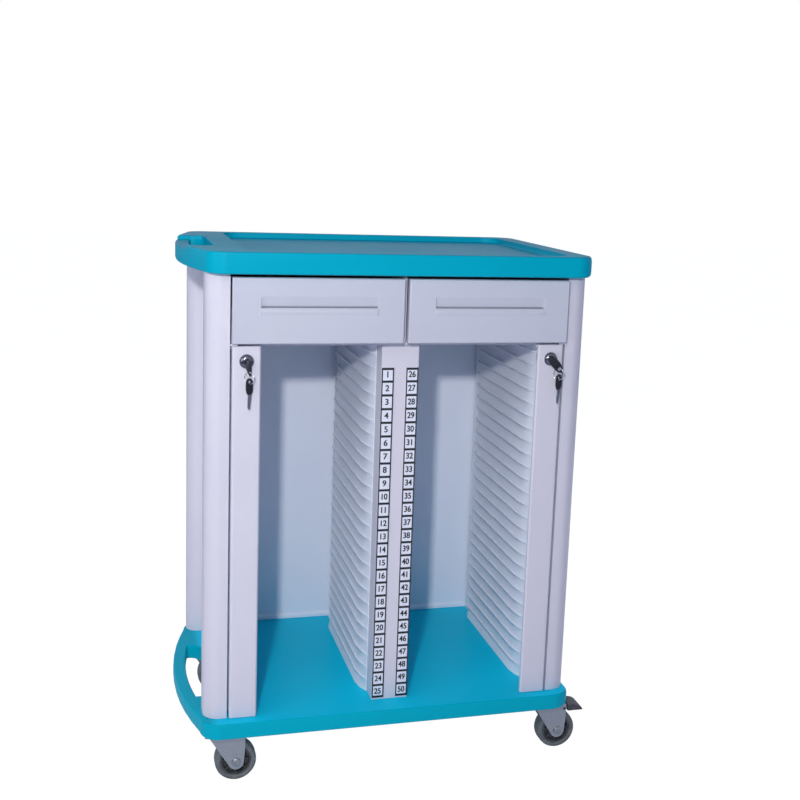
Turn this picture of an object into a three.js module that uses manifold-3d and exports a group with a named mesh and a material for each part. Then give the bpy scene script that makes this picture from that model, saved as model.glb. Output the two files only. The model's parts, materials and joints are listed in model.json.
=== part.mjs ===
// Medical chart rack: a two-bay patient record trolley in moulded plastic on four casters.
// Millimetres, +Z up. The front faces -Y, X = 0 runs through the middle of the divider,
// Y = 0 is the face of the drawers and Z = 0 is the floor, until the last lines move the
// origin to the middle of the footprint.
import * as THREE from 'three';
import { mergeVertices } from 'three/addons/utils/BufferGeometryUtils.js';
import Module from 'manifold-3d';

const wasm = await Module();
wasm.setup();

const GAP = 0.3;                 // clearance between pieces that sit against each other
const RUN = 0.5;                 // clearance of pieces that slide or turn past each other

// overall plan and heights
const CASTER_H = 101;            // floor to the underside of the base
const BASE_T = 30;               // base moulding
const BODY_H = 797;              // posts between base and top
const TOP_T = 37.5;              // top moulding
const TOP_HALF = 347;            // top, centre to right edge
const TOP_FRONT = -12;           // top, front edge
const BASE_HALF = 350;           // base, centre to right edge
const BASE_FRONT = -10;          // base, front edge
const RIM_PAST = 8;              // top and base past the back of the rear posts
const CORNER_R = 36;             // plan corners of top and base
const EDGE_R = 4;                // rounded edge of top and base
const BOW = 32;                  // how far the push bow stands out on the left
const BOW_BAND = 24;             // width of the bow itself
const BOW_DROP = 8;              // how far the grip of the top bow lies below the rim
const HAND_LEN = 234;            // length of the hand hole behind the bow
const HAND_IN = 318;             // hand hole, inner edge from the centre

// tray in the top
const TRAY_LEFT = 275;           // tray, left wall from the centre
const TRAY_RIGHT = 306;          // tray, right wall from the centre
const TRAY_FRONT = 12;           // tray, front wall
const TRAY_RIM = 23;             // rim behind the tray
const TRAY_DEPTH = 11;
const TRAY_R = 34;
const TRAY_COVE = 4;             // rounding at the foot of the tray walls
const SKIN = 4.5;                // wall left over the hollow undersides
const HOLLOW_EDGE = 56;          // solid border round the hollow undersides

// body
const COL_OUT = 344;             // outer face of the posts from the centre
const WALL_IN = 303;             // inner face of posts and side walls from the centre
const COL_FRONT = 14;
const COL_DEPTH = 48;
const COL_PAST = 10;             // rear posts past the inner face of the back panel
const COL_R = 28;                // round outer corner of the front posts
const COL_REAR_R = 22;           // both outer corners of the rear posts
const COL_WALL = 2.5;
const SIDE_T = 8;
const BACK_T = 6;
const SKIRT_T = 4;               // foot moulding of the back panel
const SKIRT_H = 11;

// shelf, divider and rib liners
const SHELF_T = 5;
const LIP_Y = 24;                // front of the shelf and of the keepers under it
const LIP_T = 4;
const LIP_H = 11;
const EAR_T = 3.4;               // ears that hold the flap rods
const EAR_W = 12;
const PART_HALF = 3;             // partition between the drawers
const PART_FRONT = 12;
const POST_HALF = 34;            // divider, half width of its label face
const POST_FRONT = 36.5;
const POST_WALL = 4;
const LABELS = 25;
const LABEL_HEAD = 42.6;         // last label below the shelf
const LABEL_W = 22.5;
const LABEL_T = 0.8;
const LABEL_FOOT = 4.4;          // first rib above the deck
const BAY_WALL = 278;            // side wall of the bays from the centre
const BAY_WALL_T = 3;
const BAY_FRONT = 41;            // front of the side walls, behind the flaps
const RIB_PLATE = 10;            // rib sheet between the ledges
const RIB_REACH = 4;             // ledges past the sheet
const RIB_RISE = 0.6;
const RIB_NOSE = 2.5;
const RIB_ROOT = 16;             // taper under each ledge
const RIB_BELOW = 5;             // ledge below the line between two labels
const RIB_FRONT = 76;
const RIB_LEAD = 42;             // length over which the sheet rises from the wall at the front
const RIB_TAIL = 33;             // and falls back to it at the rear
const RIB_REAR_GAP = 35;         // end of the sheet to the back panel
const RIB_START = 0.12;          // share of its thickness at both ends

// drawers
const DRAWER_TOP_GAP = 6;
const DRAWER_H = 113;
const DRAWER_T = 20;
const DRAWER_OUT = 301;          // outer edge of the drawer fronts
const DRAWER_IN = 3.8;
const DRAWER_R = 3;
const GRIP_W = 201;
const GRIP_DROP = 31;            // top of the grip below the top of the front
const GRIP_SLOPE = 20;           // height of the sloping scoop
const GRIP_LIP = 14;
const GRIP_LIP_T = 5;
const GRIP_POCKET = 9;           // finger space behind the lip
const GRIP_IN = 17;
const GRIP_BULGE = 2.5;
const BOX_DEPTH = 400;
const BOX_REAR_GAP = 39.7;       // drawer box to the back panel
const BOX_H = 90;
const BOX_WALL = 3;
const BOX_LIFT = 5;
const RUNNER_GAP = 11;           // wall to drawer box, filled by the runner
const RUNNER_Z = 46;
const RUNNER_LEG = 16;
const RUNNER_T = 2;
const RUNNER_LEDGE = 9;
const FLANGE_W = 8;
const FLANGE_T = 4;

// flaps and locks
const FLAP_OUT = 299.7;
const FLAP_W = 49;
const FLAP_Y = 11;
const FLAP_T = 10;
const FLAP_FOOT = 1;
const ROD_R = 2.5;
const ROD_SUNK = 8;
const LOCK_IN = 24.5;            // lock axis from the flap's outer edge
const LOCK_DROP = 26;
const BEZEL_R = 12.5;
const BEZEL_T = 3;
const BARREL_R = 9;
const BARREL_L = 15;             // barrel behind the flap
const PLUG_R = 6;
const TAIL_R = 4;
const CAM_T = 3;
const CAM_W = 14;
const CAM_TIP = 0.7;             // the cam's corners below the shelf as they pass
const KEYWAY_W = 2.6;
const KEYWAY_H = 8.6;
const KEYWAY_L = 17;
const KEY_T = 2.4;
const KEY_W = 14;
const KEY_LEN = 20;              // lock axis to the eye of the key
const KEY_STAND = 6;             // key head in front of the lock
const KEY_TURN = { left: 13, right: 41 };
const EYE_R = 3.4;
const RING_R = 10.2;
const WIRE_R = 0.9;
const RING_TILT = 38;            // ring plane from the face of the flap, degrees
const SPARE_W = 13.5;
const SPARE_HEAD = 29;
const SPARE_BLADE = 27;

// casters
const CASTER_INSET = 38.5;       // caster axis from the end of the base
const CASTER_Y = 46;             // caster axis from the drawer face, front pair
const TRAIL = 27.5;              // wheel axis behind the swivel axis
const WHEEL_R = 37.5;
const WHEEL_W = 30;
const WHEEL_FACETS = 24;
const AXLE_R = 5;
const PLATE_W = 62;
const PLATE_T = 3;
const RACE_R = 22;
const RACE_T = 7;
const KING_R = 6;
const FORK_T = 3;
const LEG_T = 3;
const LEG_LEFT = 20;             // fork crown, leading end from the swivel axis
const LEG_RIGHT = 44;            // fork crown, trailing end
const LEG_FOOT_R = 14;
const PEDAL_X = 40;              // pedal pivot from the swivel axis
const PEDAL_Z = 82;
const PEDAL_REACH = 78;
const PEDAL_HALF = 20;

// places that follow from these
const zDeck = CASTER_H + BASE_T;
const zTop = zDeck + BODY_H;
const zRim = zTop + TOP_T;
const zDrawer = zTop - DRAWER_TOP_GAP - DRAWER_H;
const zShelf = zDrawer - 1;
const zShelfIn = zShelf - SHELF_T;
const zFlap = zDeck + FLAP_FOOT;
const zFlapTop = zShelf - EAR_T - RUN;
const zLock = zFlapTop - LOCK_DROP;
const pitch = (zShelfIn - zDeck - LABEL_FOOT - LABEL_HEAD) / LABELS;
const backIn = DRAWER_T + GAP + BOX_DEPTH + BOX_REAR_GAP;
const colRear = backIn + COL_PAST;
const rearEdge = colRear + RIM_PAST;
const casterX = BASE_HALF - CASTER_INSET;
const rearCaster = BASE_FRONT + rearEdge - CASTER_Y;
const hingeX = FLAP_OUT - FLAP_T / 2;
const hingeY = FLAP_Y + FLAP_T / 2;
const lockX = FLAP_OUT - LOCK_IN;

const finish = (color, roughness, metalness) => (
  new THREE.MeshStandardMaterial({ color, roughness, metalness })
);
const plastic = (color, roughness = 0.35) => finish(color, roughness, 0);
const metal = (color, roughness = 0.3) => finish(color, roughness, 1);
const CYAN = plastic(0x0f9dbd);
const WHITE = plastic(0xd9dae8, 0.4);
const LINER = plastic(0xc9d6e8, 0.45);
const PAPER = plastic(0xf4f4f2, 0.6);
const ZINC = metal(0x9a9ca0, 0.4);
const CHROME = metal(0xd0d0d4, 0.15);
const STEEL = metal(0xa8a8ac, 0.3);
const BLACK = plastic(0x16161c, 0.4);
const RUBBER = plastic(0x46494b, 0.7);

const rack = new THREE.Group();
rack.name = 'medical_chart_rack';

function add(name, solid, material) {
  const mesh = new THREE.Mesh(solid.isBufferGeometry ? solid : toGeometry(solid), material);
  mesh.name = name;
  rack.add(mesh);
}

function toSolid(geometry) {
  const bare = geometry.clone();
  bare.deleteAttribute('normal');
  bare.deleteAttribute('uv');
  const welded = mergeVertices(bare, 1e-4);
  return new wasm.Manifold(new wasm.Mesh({
    numProp: 3,
    vertProperties: new Float32Array(welded.attributes.position.array),
    triVerts: new Uint32Array(welded.index.array),
  }));
}

function toGeometry(solid) {
  const mesh = solid.getMesh();
  const geometry = new THREE.BufferGeometry();
  geometry.setAttribute('position', new THREE.BufferAttribute(mesh.vertProperties, 3));
  geometry.setIndex(new THREE.BufferAttribute(mesh.triVerts, 1));
  geometry.computeVertexNormals();
  return geometry;
}

function join(...geometries) {
  return geometries.map(toSolid).reduce((a, b) => a.add(b));
}

function cut(solid, ...geometries) {
  return geometries.reduce((a, g) => a.subtract(toSolid(g)), solid.isBufferGeometry ? toSolid(solid) : solid);
}

function box(x0, x1, y0, y1, z0, z1) {
  const low = new THREE.Vector3(Math.min(x0, x1), Math.min(y0, y1), Math.min(z0, z1));
  const high = new THREE.Vector3(Math.max(x0, x1), Math.max(y0, y1), Math.max(z0, z1));
  const size = high.clone().sub(low);
  const middle = low.clone().add(high).multiplyScalar(0.5);
  return new THREE.BoxGeometry(size.x, size.y, size.z).translate(middle.x, middle.y, middle.z);
}

function outline(points) {
  return new THREE.Shape(points.map(([a, b]) => new THREE.Vector2(a, b)));
}

function roundedRect(x0, x1, y0, y1, r) {
  const shape = new THREE.Shape();
  shape.absarc(x1 - r, y0 + r, r, -Math.PI / 2, 0);
  shape.absarc(x1 - r, y1 - r, r, 0, Math.PI / 2);
  shape.absarc(x0 + r, y1 - r, r, Math.PI / 2, Math.PI);
  shape.absarc(x0 + r, y0 + r, r, Math.PI, Math.PI * 1.5);
  shape.closePath();
  return shape;
}

// prism of a plan outline between two heights, its ends rounded by r
function prismZ(shape, z0, z1, r = 0, steps = 2, curveSegments = 6) {
  const options = { depth: z1 - z0 - 2 * r, bevelEnabled: r > 0, curveSegments };
  Object.assign(options, { bevelThickness: r, bevelSize: r, bevelOffset: -r, bevelSegments: steps });
  return new THREE.ExtrudeGeometry(shape, options).translate(0, 0, z0 + r);
}

// prism of an outline in X and Z, from y0 back to y1
function prismY(shape, y0, y1, r = 0, steps = 2, curveSegments = 6) {
  return prismZ(shape, y0, y1, r, steps, curveSegments)
    .translate(0, 0, -y0 - y1)
    .rotateX(Math.PI / 2);
}

// prism of an outline in Y and Z, from x0 to x1
function prismX(shape, x0, x1, r = 0, steps = 2) {
  const turn = new THREE.Matrix4().makeBasis(
    new THREE.Vector3(0, 1, 0), new THREE.Vector3(0, 0, 1), new THREE.Vector3(1, 0, 0));
  return prismZ(shape, x0, x1, r, steps).applyMatrix4(turn);
}

function rodY(x, z, r, y0, y1, sides = 14) {
  return new THREE.CylinderGeometry(r, r, y1 - y0, sides).translate(x, (y0 + y1) / 2, z);
}

function rodZ(x, y, r, z0, z1, sides = 16) {
  return new THREE.CylinderGeometry(r, r, z1 - z0, sides)
    .rotateX(Math.PI / 2)
    .translate(x, y, (z0 + z1) / 2);
}

// top and base: rounded rectangle with a bow and its hand hole on the left end
function bowPlan(half, front, rear) {
  const reach = (rear - front) / 2 - CORNER_R;
  const radius = (reach * reach + BOW * BOW) / (2 * BOW);
  const middle = (front + rear) / 2;
  const centre = radius - half - BOW;
  const swing = Math.asin(reach / radius);
  const shape = new THREE.Shape();
  shape.absarc(half - CORNER_R, front + CORNER_R, CORNER_R, -Math.PI / 2, 0);
  shape.absarc(half - CORNER_R, rear - CORNER_R, CORNER_R, 0, Math.PI / 2);
  shape.absarc(CORNER_R - half, rear - CORNER_R, CORNER_R, Math.PI / 2, Math.PI);
  shape.absarc(centre, middle, radius, Math.PI - swing, Math.PI + swing);
  shape.absarc(CORNER_R - half, front + CORNER_R, CORNER_R, Math.PI, Math.PI * 1.5);
  shape.closePath();
  const inner = radius - BOW_BAND;
  const part = Math.asin(HAND_LEN / 2 / inner);
  const end = centre - inner * Math.cos(part);
  const y0 = middle - HAND_LEN / 2;
  const y1 = middle + HAND_LEN / 2;
  const round = BOW_BAND;
  const hole = new THREE.Path();
  hole.absarc(centre, middle, inner, Math.PI - part, Math.PI + part);
  hole.quadraticCurveTo((end - HAND_IN) / 2, y0 - EDGE_R, -HAND_IN, y0 + round);
  hole.lineTo(-HAND_IN, y1 - round);
  hole.quadraticCurveTo((end - HAND_IN) / 2, y1 + EDGE_R, end, y1);
  shape.holes.push(hole);
  return shape;
}

function buildTop() {
  const slab = prismZ(bowPlan(TOP_HALF, TOP_FRONT, rearEdge), zTop, zRim, EDGE_R, 2, 5);
  const floor = zRim - TRAY_DEPTH;
  const tray = prismZ(roundedRect(-TRAY_LEFT, TRAY_RIGHT, TRAY_FRONT, rearEdge - TRAY_RIM, TRAY_R),
    floor, zRim + TRAY_DEPTH, TRAY_COVE);
  const hollow = box(HOLLOW_EDGE - TOP_HALF, TOP_HALF - HOLLOW_EDGE, COL_FRONT + HOLLOW_EDGE,
    colRear - HOLLOW_EDGE, zTop - EDGE_R, floor - SKIN);
  const middle = (TOP_FRONT + rearEdge) / 2;
  const dip = box(-TOP_HALF - 2 * BOW, -HAND_IN - EDGE_R, middle - HAND_LEN / 2, middle + HAND_LEN / 2,
    zRim - BOW_DROP, zRim + BOW_DROP);
  add('top_tray', cut(slab, tray, hollow, dip), CYAN);
}

function buildBase() {
  const slab = prismZ(bowPlan(BASE_HALF, BASE_FRONT, rearEdge), CASTER_H, zDeck, EDGE_R, 2, 5);
  const pad = CASTER_INSET + PLATE_W / 2;
  const hollow = box(pad - BASE_HALF, BASE_HALF - pad, COL_FRONT + HOLLOW_EDGE, colRear - HOLLOW_EDGE,
    CASTER_H - EDGE_R, zDeck - SKIN);
  const seats = [-1, 1].map((s) => rodZ(s * hingeX, hingeY, ROD_R + GAP, zDeck - ROD_SUNK, zDeck + EDGE_R));
  add('base_deck', cut(slab, hollow, ...seats), CYAN);
}

// hollow corner post, drawn for the front right and mirrored: one large round corner at the front,
// two at the rear
function buildPost(name, side, rear) {
  const r = rear ? COL_REAR_R : COL_R;
  const face = (x0, x1, y0, y1, round) => {
    const shape = new THREE.Shape();
    shape.moveTo(x0, y0);
    shape.lineTo(x1 - round, y0);
    shape.absarc(x1 - round, y0 + round, round, -Math.PI / 2, 0);
    if (rear) shape.absarc(x1 - round, y1 - round, round, 0, Math.PI / 2);
    else shape.lineTo(x1, y1);
    shape.lineTo(x0, y1);
    shape.closePath();
    return shape;
  };
  const shape = face(WALL_IN, COL_OUT, COL_FRONT, COL_FRONT + COL_DEPTH, r);
  shape.holes.push(face(WALL_IN + COL_WALL, COL_OUT - COL_WALL, COL_FRONT + COL_WALL,
    COL_FRONT + COL_DEPTH - COL_WALL, r - COL_WALL));
  const mirrored = side * (rear ? -1 : 1) < 0;
  const put = (list) => {
    const loop = list.map((p) => new THREE.Vector2(side * p.x, rear ? COL_FRONT + colRear - p.y : p.y));
    return mirrored ? loop.reverse() : loop;
  };
  const { shape: rim, holes } = shape.extractPoints(5);
  const post = new THREE.Shape(put(rim));
  post.holes.push(...holes.map((h) => new THREE.Path(put(h))));
  add(name, toSolid(prismZ(post, zDeck + GAP, zTop - GAP)), WHITE);
}

function buildBody() {
  const sideFront = COL_FRONT + COL_DEPTH + GAP;
  const sideRear = colRear - COL_DEPTH - GAP;
  for (const [side, hand] of [[-1, 'left'], [1, 'right']]) {
    buildPost(`post_front_${hand}`, side, false);
    buildPost(`post_rear_${hand}`, side, true);
    add(`side_panel_${hand}`, box(side * WALL_IN, side * (WALL_IN + SIDE_T), sideFront, sideRear,
      zDeck + GAP, zTop - GAP), WHITE);
  }
  const foot = zDeck + GAP;
  const back = outline([
    [backIn - SKIRT_T, foot], [backIn + BACK_T, foot], [backIn + BACK_T, zTop - GAP],
    [backIn, zTop - GAP], [backIn, foot + SKIRT_H], [backIn - SKIRT_T, foot + SKIRT_H - SKIRT_T],
  ]);
  add('back_panel', prismX(back, GAP - WALL_IN, WALL_IN - GAP), WHITE);

  const rear = backIn - GAP;
  const wide = WALL_IN - GAP;
  const plate = join(
    box(-wide, wide, LIP_Y, rear, zShelfIn, zShelf),
    ...[-1, 1].map((s) => box(s * (FLAP_OUT - FLAP_W), s * wide, LIP_Y, LIP_Y + LIP_T,
      zShelf - LIP_H, zShelf)),
    ...[-1, 1].map((s) => box(s * (wide - EAR_W), s * wide, hingeY - FLAP_T / 2, LIP_Y + LIP_T,
      zShelf - EAR_T, zShelf)),
  );
  const eyes = [-1, 1].map((s) => rodZ(s * hingeX, hingeY, ROD_R + GAP, zShelf - LIP_H, zShelf + LIP_H));
  add('drawer_shelf', cut(plate, ...eyes), WHITE);
  add('drawer_partition', box(-PART_HALF, PART_HALF, PART_FRONT, rear, zShelf + GAP, zTop - GAP), WHITE);

  const deep = backIn - SKIRT_T - GAP;
  const channel = outline([
    [-POST_HALF, POST_FRONT], [POST_HALF, POST_FRONT], [POST_HALF, deep], [POST_HALF - POST_WALL, deep],
    [POST_HALF - POST_WALL, POST_FRONT + POST_WALL], [POST_WALL - POST_HALF, POST_FRONT + POST_WALL],
    [POST_WALL - POST_HALF, deep], [-POST_HALF, deep],
  ]);
  add('divider_post', prismZ(channel, zDeck + GAP, zShelfIn - GAP), WHITE);
  const z0 = zDeck + LABEL_FOOT;
  for (const [side, hand] of [[-1, 'left'], [1, 'right']]) {
    add(`label_strip_${hand}`, box(side * (POST_HALF - GAP - LABEL_W), side * (POST_HALF - GAP),
      POST_FRONT - GAP - LABEL_T, POST_FRONT - GAP, z0, z0 + LABELS * pitch), PAPER);
    const wall = side * BAY_WALL;
    const channel = join(
      box(wall, wall + side * BAY_WALL_T, BAY_FRONT, deep, zDeck + GAP, zShelfIn - GAP),
      box(wall, side * wide, BAY_FRONT, BAY_FRONT + BAY_WALL_T, zDeck + GAP, zShelfIn - GAP),
    );
    const ribs = toSolid(ribSheet(wall + side * BAY_WALL_T / 2, -side, BAY_WALL_T / 2));
    add(`rib_liner_wall_${hand}`, channel.add(ribs), LINER);
    add(`rib_liner_divider_${hand}`, ribSheet(side * (POST_HALF + GAP), side, 0), LINER);
  }
}

// sheet with one sloping ledge per label, easing out of its wall in front and behind;
// it starts sunk into the wall by the given depth
function ribSheet(back, way, sunk) {
  const foot = zDeck + GAP;
  const head = zShelfIn - GAP;
  const tip = RIB_PLATE + RIB_REACH;
  const section = [[-sunk, foot], [-sunk, head], [RIB_PLATE, head]];
  for (let k = LABELS + 1; k > 0; k -= 1) {
    const z = zDeck + LABEL_FOOT - RIB_BELOW + k * pitch;
    section.push([RIB_PLATE, z], [tip, z + RIB_RISE]);
    section.push([tip, z + RIB_RISE - RIB_NOSE], [RIB_PLATE, z - RIB_ROOT]);
  }
  section.push([tip, foot]);
  const rise = (t) => RIB_START + (1 - RIB_START) * Math.sin(t * Math.PI / 2);
  const end = backIn - RIB_REAR_GAP;
  const stations = [
    ...[0, 0.45, 1].map((t) => [RIB_FRONT + RIB_LEAD * t, rise(t)]),
    ...[1, 0.45, 0].map((t) => [end - RIB_TAIL * t, rise(t)]),
  ];
  const count = section.length;
  const positions = [];
  for (const [y, share] of stations) {
    for (const [x, z] of section) positions.push(back + way * (sunk + (x > 0 ? x * share : x)), y, z);
  }
  const faces = [];
  for (let s = 0; s + 1 < stations.length; s += 1) {
    for (let i = 0; i < count; i += 1) {
      const a = s * count + i;
      const b = s * count + (i + 1) % count;
      faces.push([a, b, a + count], [b, b + count, a + count]);
    }
  }
  const last = (stations.length - 1) * count;
  const rim = section.map(([x, z]) => new THREE.Vector2(x, z));
  for (const [a, b, c] of THREE.ShapeUtils.triangulateShape(rim, [])) {
    faces.push([a, b, c], [last + a, last + c, last + b]);
  }
  const geometry = new THREE.BufferGeometry();
  geometry.setAttribute('position', new THREE.Float32BufferAttribute(positions, 3));
  geometry.setIndex(faces.flat());
  return outward(geometry);
}

// turns every face of a closed surface outward
function outward(geometry) {
  const p = geometry.attributes.position;
  const index = geometry.index.array;
  const [a, b, c] = [new THREE.Vector3(), new THREE.Vector3(), new THREE.Vector3()];
  let volume = 0;
  for (let i = 0; i < index.length; i += 3) {
    a.fromBufferAttribute(p, index[i]);
    b.fromBufferAttribute(p, index[i + 1]);
    c.fromBufferAttribute(p, index[i + 2]);
    volume += a.dot(b.cross(c));
  }
  if (volume < 0) {
    for (let i = 0; i < index.length; i += 3) [index[i], index[i + 1]] = [index[i + 1], index[i]];
  }
  return geometry;
}

function buildDrawer(side, hand) {
  const z1 = zDrawer + DRAWER_H;
  const [x0, x1] = side < 0 ? [-DRAWER_OUT, -DRAWER_IN] : [DRAWER_IN, DRAWER_OUT];
  const block = prismY(outline([[x0, zDrawer], [x1, zDrawer], [x1, z1], [x0, z1]]), 0, DRAWER_T, DRAWER_R);
  const middle = (x0 + x1) / 2;
  const [g0, g1] = [middle - GRIP_W / 2, middle + GRIP_W / 2];
  const lip = z1 - GRIP_DROP - GRIP_SLOPE;
  const scoop = outline([
    [-DRAWER_R, z1 - GRIP_DROP], [0, z1 - GRIP_DROP],
    [GRIP_IN, lip + GRIP_BULGE], [GRIP_IN, lip - GRIP_POCKET],
    [GRIP_LIP_T, lip - GRIP_POCKET], [GRIP_LIP_T, lip], [-DRAWER_R, lip],
  ]);
  const roll = outline([
    [GRIP_LIP_T / 2, lip - GRIP_LIP], [GRIP_LIP_T / 2, lip - GRIP_BULGE / 2], [0, lip - GRIP_BULGE / 2],
    [-GRIP_BULGE, lip - GRIP_LIP / 3], [-GRIP_BULGE, lip - GRIP_LIP * 0.6], [0, lip - GRIP_LIP],
  ]);
  const front = cut(block, prismX(scoop, g0, g1)).add(toSolid(prismX(roll, g0, g1)));
  add(`drawer_front_${hand}`, front, WHITE);

  const outer = side * (WALL_IN - RUNNER_GAP);
  const inner = side * (PART_HALF + RUNNER_GAP);
  const b0 = DRAWER_T + GAP;
  const b1 = b0 + BOX_DEPTH;
  const floor = zDrawer + BOX_LIFT;
  const seat = zDrawer + RUNNER_Z + RUNNER_T + RUN;
  const shell = cut(box(inner, outer, b0, b1, floor, floor + BOX_H),
    box(inner + side * BOX_WALL, outer - side * BOX_WALL, b0 + BOX_WALL, b1 - BOX_WALL,
      floor + BOX_WALL, zTop));
  const flanges = [[inner, -side], [outer, side]].map(([x, way]) => box(
    x - way * BOX_WALL / 2, x + way * FLANGE_W, b0, b1, seat, seat + FLANGE_T));
  const tray = flanges.reduce((a, f) => a.add(toSolid(f)), shell);
  add(`drawer_box_${hand}`, tray, WHITE);

  const walls = [['outer', side * WALL_IN, -side], ['inner', side * PART_HALF, side]];
  for (const [where, wall, way] of walls) {
    const z = zDrawer + RUNNER_Z;
    const at = (d) => wall + way * d;
    const angle = outline([
      [at(GAP), z], [at(GAP + RUNNER_LEDGE), z], [at(GAP + RUNNER_LEDGE), z + RUNNER_T],
      [at(GAP + RUNNER_T), z + RUNNER_T], [at(GAP + RUNNER_T), z + RUNNER_LEG], [at(GAP), z + RUNNER_LEG],
    ]);
    add(`runner_${hand}_${where}`, prismY(angle, COL_FRONT + COL_DEPTH, colRear - COL_DEPTH), ZINC);
  }
}

function buildFlap(side, hand) {
  const x = side * hingeX;
  const edge = side * (FLAP_OUT - FLAP_W);
  const plan = new THREE.Shape();
  const half = FLAP_T / 2;
  const ease = half / 2;
  plan.moveTo(edge, hingeY - half + ease);
  plan.lineTo(edge - side * -ease, hingeY - half);
  plan.lineTo(x, hingeY - half);
  plan.absarc(x, hingeY, half, -Math.PI / 2, Math.PI / 2, side < 0);
  plan.lineTo(edge - side * -ease, hingeY + half);
  plan.lineTo(edge, hingeY + half - ease);
  plan.closePath();
  const lx = side * lockX;
  const panel = cut(prismZ(plan, zFlap, zFlapTop, 0, 1, 6),
    rodZ(x, hingeY, ROD_R + GAP, zFlap - ROD_SUNK, zFlapTop + ROD_SUNK),
    rodY(lx, zLock, BARREL_R + GAP, FLAP_Y - FLAP_T, FLAP_Y + 2 * FLAP_T));
  add(`flap_${hand}`, panel, WHITE);
  add(`flap_rod_${hand}`, rodZ(x, hingeY, ROD_R, zDeck - ROD_SUNK + GAP, zShelf - GAP), STEEL);

  const face = FLAP_Y - GAP;
  const tail = FLAP_Y + FLAP_T + BARREL_L;
  const bezel = [
    [PLUG_R + GAP, face - BEZEL_T], [BEZEL_R - 2, face - BEZEL_T],
    [BEZEL_R, face - BEZEL_T / 3], [BEZEL_R, face],
    [BARREL_R, face], [BARREL_R, tail], [PLUG_R + GAP, tail],
  ];
  bezel.push(bezel[0]);
  add(`lock_housing_${hand}`, lathe(bezel, 18).translate(lx, 0, zLock), CHROME);

  const nose = face - BEZEL_T - GAP;
  const plug = [[0, nose], [PLUG_R, nose], [PLUG_R, tail + GAP], [TAIL_R, tail + GAP],
    [TAIL_R, tail + 3 * GAP + CAM_T], [0, tail + 3 * GAP + CAM_T]];
  const turn = THREE.MathUtils.degToRad(KEY_TURN[hand]);
  const slot = box(-KEYWAY_W / 2, KEYWAY_W / 2, nose - KEY_STAND, nose + KEYWAY_L,
    -KEYWAY_H / 2, KEYWAY_H / 2).rotateY(-turn).translate(lx, 0, zLock);
  add(`lock_plug_${hand}`, cut(lathe(plug, 16).translate(lx, 0, zLock), slot), CHROME);

  const reach = Math.sqrt((zShelfIn - CAM_TIP - zLock) ** 2 - (CAM_W / 2) ** 2);
  const arm = new THREE.Shape();
  arm.absarc(0, 0, CAM_W / 2, Math.PI / 2, Math.PI * 1.5);
  arm.lineTo(reach, -CAM_W / 2);
  arm.lineTo(reach, CAM_W / 2);
  arm.closePath();
  const strip = cut(prismY(arm, tail + 2 * GAP, tail + 2 * GAP + CAM_T),
    rodY(0, 0, TAIL_R + GAP / 2, tail, tail + 4 * CAM_T))
    .rotate([0, side < 0 ? 0 : 180, 0]).translate([lx, 0, zLock]);
  add(`lock_cam_${hand}`, strip, ZINC);
  buildKeys(hand, lx, nose, turn);
}

function lathe(profile, sides) {
  const turned = new THREE.LatheGeometry(profile.map(([r, y]) => new THREE.Vector2(r, y)), sides);
  return outward(mergeVertices(stripped(turned), 1e-4));
}

function stripped(geometry) {
  geometry.deleteAttribute('normal');
  geometry.deleteAttribute('uv');
  return geometry;
}

// key in the lock, its ring and the spare that hangs from the ring
function buildKeys(hand, lx, nose, turn) {
  const y1 = nose - KEY_STAND + KEY_T;
  const y0 = y1 - KEY_T;
  const head = new THREE.Shape();
  head.absarc(0, 0, KEY_W / 2, 0, Math.PI);
  head.absarc(0, -KEY_LEN, KEY_W * 0.4, Math.PI, Math.PI * 2);
  head.closePath();
  const blade = box(GAP - KEYWAY_W / 2, KEYWAY_W / 2 - GAP, y0 + KEY_T / 2, nose + KEYWAY_L - GAP,
    GAP - KEYWAY_H / 2, KEYWAY_H / 2 - GAP);
  const eye = rodY(0, -KEY_LEN, EYE_R, y0 - KEY_T, y1 + KEY_T, 14);
  const key = cut(join(prismY(head, y0, y1), blade), eye)
    .rotate([0, -turn * 180 / Math.PI, 0]).translate([lx, 0, zLock]);
  add(`key_${hand}`, key, BLACK);

  const ex = lx + KEY_LEN * Math.sin(turn);
  const ez = zLock - KEY_LEN * Math.cos(turn);
  const my = (y0 + y1) / 2;
  const ring = stripped(new THREE.TorusGeometry(RING_R, WIRE_R, 6, 22));
  ring.rotateX(Math.PI / 2).rotateZ(THREE.MathUtils.degToRad(RING_TILT));
  add(`key_ring_${hand}`, outward(mergeVertices(ring, 1e-4)).translate(ex, my, ez - RING_R), CHROME);

  const low = ez - 2 * RING_R;
  const drop = -EYE_R + WIRE_R + GAP;
  const headTop = drop + EYE_R * 2;
  const bladeTop = headTop - SPARE_HEAD;
  const spareHead = prismY(roundedRect(-SPARE_W / 2, SPARE_W / 2, bladeTop, headTop, SPARE_W / 3),
    -KEY_T / 2, KEY_T / 2);
  const spareBlade = prismY(outline([
    [-SPARE_W / 4, bladeTop + KEY_T], [-SPARE_W / 4, bladeTop - SPARE_BLADE * 0.8],
    [0, bladeTop - SPARE_BLADE], [SPARE_W / 8, bladeTop - SPARE_BLADE * 0.9],
    [SPARE_W / 3, bladeTop - SPARE_BLADE * 0.3], [SPARE_W / 3, bladeTop + KEY_T],
  ]), -KEY_T / 4, KEY_T / 4);
  const spare = cut(join(spareHead, spareBlade), rodY(0, drop, EYE_R, -KEY_T, KEY_T, 14))
    .rotate([0, 0, RING_TILT - 90]).translate([ex, my, low]);
  add(`spare_key_${hand}`, spare, BLACK);
}

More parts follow.
